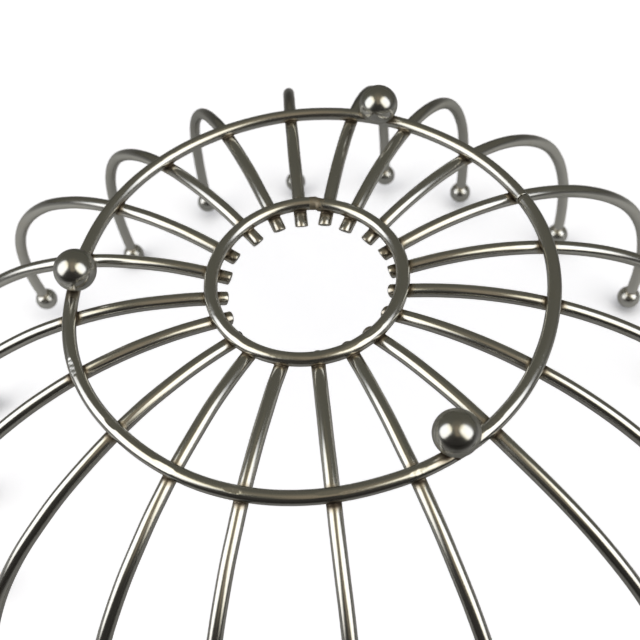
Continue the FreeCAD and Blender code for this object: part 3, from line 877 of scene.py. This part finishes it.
# the plane the upturned bowl rests on: through three tip balls, lowest at the axis
tops = []
for rib in ribs:
    p = rib.at([rib.length])[0][0]
    tops.append(p + np.array([0, 0, TIP_BALL_R]))
tops = np.array(tops)
best = None
for i in range(20):
    for j in range(i + 1, 20):
        for k in range(j + 1, 20):
            a = np.array([[1, *tops[q][:2]] for q in (i, j, k)])
            if abs(np.linalg.det(a)) < 1e-6:
                continue
            plane = np.linalg.solve(a, tops[[i, j, k], 2])
            gap = plane[0] + tops[:, :2] @ plane[1:] - tops[:, 2]
            if gap.min() > -1e-6 and (best is None or plane[0] < best[0]):
                best = plane
R = 6.0
rim_floor = stage_mesh("floor_under_rim", [
    (x, y, best[1] * x + best[2] * y) for x, y in ((-R, -R), (R, -R), (R, R), (-R, R))],
    [(0, 1, 2, 3)], floor_mat, None)
drive(rim_floor, "location", 2, "%.6f if cz < 0 else 60" % ((best[0] + 0.02) * MM), cz="location[2]")
feet_floor = stage_mesh("floor_under_feet", [(-R, -R, 0), (R, -R, 0), (R, R, 0), (-R, R, 0)],
                        [(0, 1, 2, 3)], floor_mat, None)
drive(feet_floor, "location", 2, "-60 if cz < 0 else -0.00002", cz="location[2]")


def panel(name, azimuth, elevation, distance, width, height, strength, edge_warmth):
    """A big glowing sheet facing the bowl: bright in the middle, fading to its edges,
    and warm along the edge nearest the camera and along the top."""
    n = Nodes(name + "_light")
    o = n.new("ShaderNodeOutputMaterial")
    e = n.new("ShaderNodeEmission")
    sep = n.new("ShaderNodeSeparateXYZ")
    n.link(n.new("ShaderNodeTexCoord").outputs["Generated"], sep.inputs[0])
    u, v = (n.math("SUBTRACT", n.math("MULTIPLY", sep.outputs[k], 2.0), 1.0) for k in (0, 1))
    d = n.math("ADD", n.math("POWER", n.math("ABSOLUTE", u), 3.0), n.math("POWER", n.math("ABSOLUTE", v), 3.0))
    a, el = math.radians(azimuth), math.radians(elevation)
    d3 = Vector((math.sin(a) * math.cos(el), -math.cos(a) * math.cos(el), math.sin(el)))
    q = d3.to_track_quat("Z", "Y").to_matrix()
    inner = u if (q @ Vector((1, 0, 0))).y < 0 else n.math("MULTIPLY", u, -1.0)
    warm = n.math("MAXIMUM", n.ramp(inner, 0.15, 0.85, 0.0, edge_warmth), n.ramp(v, 0.30, 1.0, 0.0, 0.9))
    cool = n.mix(n.ramp(inner, 0.0, -1.0), (1.0, 0.995, 0.985, 1), (0.965, 0.99, 1.03, 1))
    n.link(n.mix(warm, cool, (1.0, 0.90, 0.58, 1)), e.inputs[0])
    n.link(n.math("MULTIPLY", n.math("POWER", n.ramp(d, 1.0, 0.32), 0.9), strength), e.inputs[1])
    n.link(e.outputs[0], o.inputs[0])
    w, h_ = width / 2, height / 2
    verts = [(-w, -h_, 0), (w, -h_, 0), (w, h_, 0), (-w, h_, 0)]
    obj = stage_mesh(name, verts, [(0, 1, 2, 3)], n.mat)
    obj.matrix_local = Matrix.Translation(Vector((0, 0, 0.06)) + d3 * distance) @ q.to_4x4()
    obj.visible_camera = False
    obj.visible_shadow = False
    return obj


panel("light_left", -84.0, 35.5, 0.90, 0.94, 1.22, 1.95, 0.12)
panel("light_right", 57.0, 40.0, 0.90, 0.87, 1.22, 1.95, 0.50)

# the room: olive-grey all round, near black on the camera's side, a warm strip overhead
n = Nodes("room")
o = n.new("ShaderNodeOutputMaterial")
e = n.new("ShaderNodeEmission")
co = n.new("ShaderNodeTexCoord").outputs["Object"]
sep = n.new("ShaderNodeSeparateXYZ")
n.link(co, sep.inputs[0])
x, y, z = (n.math("DIVIDE", sep.outputs[k], 3.0) for k in range(3))
front = n.math("MULTIPLY", n.ramp(y, -0.30, -0.62), n.ramp(z, 0.88, 0.62))
colour = n.mix(n.ramp(z, 0.84, 0.99), (0.125, 0.121, 0.0985, 1), (0.185, 0.17, 0.13, 1))
colour = n.mix(front, colour, (0.035, 0.033, 0.030, 1))
gap = n.math("MULTIPLY", n.ramp(n.math("ABSOLUTE", x), 0.26, 0.12), n.math("MULTIPLY", n.ramp(z, 0.62, 0.80), n.ramp(y, 0.12, -0.12)))
colour = n.mix(gap, colour, (0.31, 0.258, 0.187, 1))
n.link(colour, e.inputs[0])
n.link(e.outputs[0], o.inputs[0])
n.mat.cycles.emission_sampling = "NONE"
dirs, dome_faces = ICO[4]
dome = stage_mesh("room_dome", (dirs * 3.0).tolist(), [tuple(reversed(f)) for f in dome_faces], n.mat)
dome.visible_camera = False
dome.visible_shadow = False

world = bpy.data.worlds.new("world")
scene.world = world
world.use_nodes = True
wt = world.node_tree
wt.nodes.clear()
wo = wt.nodes.new("ShaderNodeOutputWorld")
wb = wt.nodes.new("ShaderNodeBackground")
lp = wt.nodes.new("ShaderNodeLightPath")
wt.links.new(lp.outputs["Is Camera Ray"], wb.inputs[1])
wb.inputs[0].default_value = (1.0, 1.0, 1.0, 1)
wt.links.new(wb.outputs[0], wo.inputs[0])

scene.view_settings.view_transform = "Standard"
scene.view_settings.look = "None"
scene.cycles.caustics_reflective = False
scene.cycles.caustics_refractive = False
